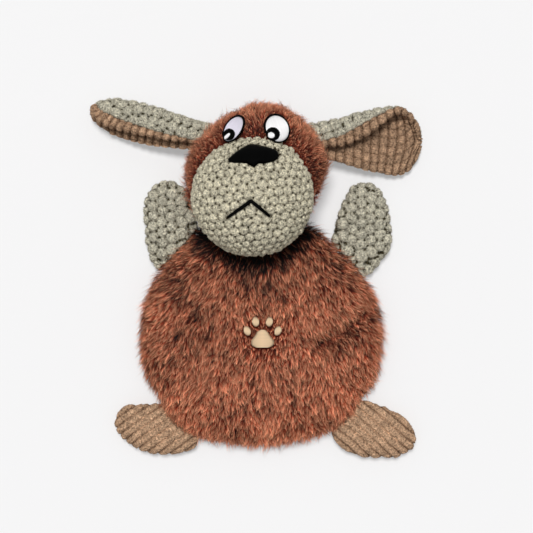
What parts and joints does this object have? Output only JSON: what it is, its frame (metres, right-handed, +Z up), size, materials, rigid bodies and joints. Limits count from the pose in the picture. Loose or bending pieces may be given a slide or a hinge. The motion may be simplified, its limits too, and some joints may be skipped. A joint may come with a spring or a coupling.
{
  "type": "squeaky dog toy",
  "caption": "Flat plush dog lying on its back: round fur body, ball head with bobble muzzle and stitched face, folded ears, flap arms and legs, reed squeaker inside.",
  "frame": {"origin": "middle of the flat that the body's back rests on", "axes": "+Z up out of the belly, +Y from the belly to the head, +X to the viewer's right"},
  "size_m": [0.2477, 0.2662, 0.077],
  "materials": {
    "fur": "long russet pile",
    "bobble_cloth": "sage bobble chenille",
    "muzzle_cloth": "pale sage bobble chenille",
    "cord_cloth": "tan cut cord",
    "wadding": "polyester fibre",
    "black_thread": "satin stitched",
    "white_thread": "satin stitched",
    "squeaker_plastic": "moulded",
    "squeaker_vinyl": "soft moulded",
    "whistle_plastic": "moulded",
    "reed_metal": "rolled strip"
  },
  "bodies": {
    "torso": {"body_front_panel": "fur", "body_back_panel": "fur", "body_wadding_front": "wadding", "body_wadding_back": "wadding", "squeaker_base": "squeaker_plastic", "squeaker_bellows": "squeaker_vinyl", "squeaker_whistle": "whistle_plastic", "squeaker_reed": "reed_metal"},
    "squeaker_top": {"squeaker_top_disc": "squeaker_plastic"},
    "head": {"head_front_panel": "fur", "head_back_panel": "fur", "head_wadding": "wadding", "muzzle_panel": "muzzle_cloth", "muzzle_wadding": "wadding", "nose_patch": "black_thread", "left_eye_white": "white_thread", "left_pupil": "black_thread", "right_eye_white": "white_thread", "right_pupil": "black_thread"},
    "left_ear": {"left_ear_back": "bobble_cloth", "left_ear_lining": "cord_cloth"},
    "right_ear": {"right_ear_back": "bobble_cloth", "right_ear_lining": "cord_cloth"},
    "left_arm": {"left_arm_front": "bobble_cloth", "left_arm_back": "bobble_cloth", "left_arm_wadding": "wadding"},
    "right_arm": {"right_arm_front": "bobble_cloth", "right_arm_back": "bobble_cloth", "right_arm_wadding": "wadding"},
    "left_leg": {"left_leg_front": "cord_cloth", "left_leg_back": "cord_cloth", "left_leg_wadding": "wadding"},
    "right_leg": {"right_leg_front": "cord_cloth", "right_leg_back": "cord_cloth", "right_leg_wadding": "wadding"}
  },
  "joints": [
    {"name": "head_nod", "type": "hinge", "parent": "torso", "child": "head", "pos_m": [-0.0034, 0.0765, 0.014], "axis": [1, 0, 0], "range_deg": [-35, 15]},
    {"name": "left_ear_flop", "type": "hinge", "parent": "head", "child": "left_ear", "pos_m": [-0.04373, 0.14489, 0.0265], "axis": [0.6018, 0.7986, 0], "range_deg": [-30, 45]},
    {"name": "right_ear_flop", "type": "hinge", "parent": "head", "child": "right_ear", "pos_m": [0.04033, 0.13975, 0.0265], "axis": [0.5, -0.866, 0], "range_deg": [-30, 45]},
    {"name": "left_arm_flap", "type": "hinge", "parent": "torso", "child": "left_arm", "pos_m": [-0.06578, 0.05534, 0.009], "axis": [0.7187, 0.6953, 0], "range_deg": [-25, 25]},
    {"name": "right_arm_flap", "type": "hinge", "parent": "torso", "child": "right_arm", "pos_m": [0.06578, 0.05534, 0.009], "axis": [0.7187, -0.6953, 0], "range_deg": [-25, 60]},
    {"name": "left_leg_flap", "type": "hinge", "parent": "torso", "child": "left_leg", "pos_m": [-0.06375, -0.05723, 0.009], "axis": [-0.7441, 0.668, 0], "range_deg": [-25, 60]},
    {"name": "right_leg_flap", "type": "hinge", "parent": "torso", "child": "right_leg", "pos_m": [0.06375, -0.05723, 0.009], "axis": [-0.7441, -0.668, 0], "range_deg": [-25, 60]},
    {"name": "squeaker_press", "type": "slide", "parent": "torso", "child": "squeaker_top", "axis": [0, 0, -1], "range_m": [0, 0.005], "stiffness_N_per_m": 600, "deforming": ["squeaker_bellows"]}
  ]
}
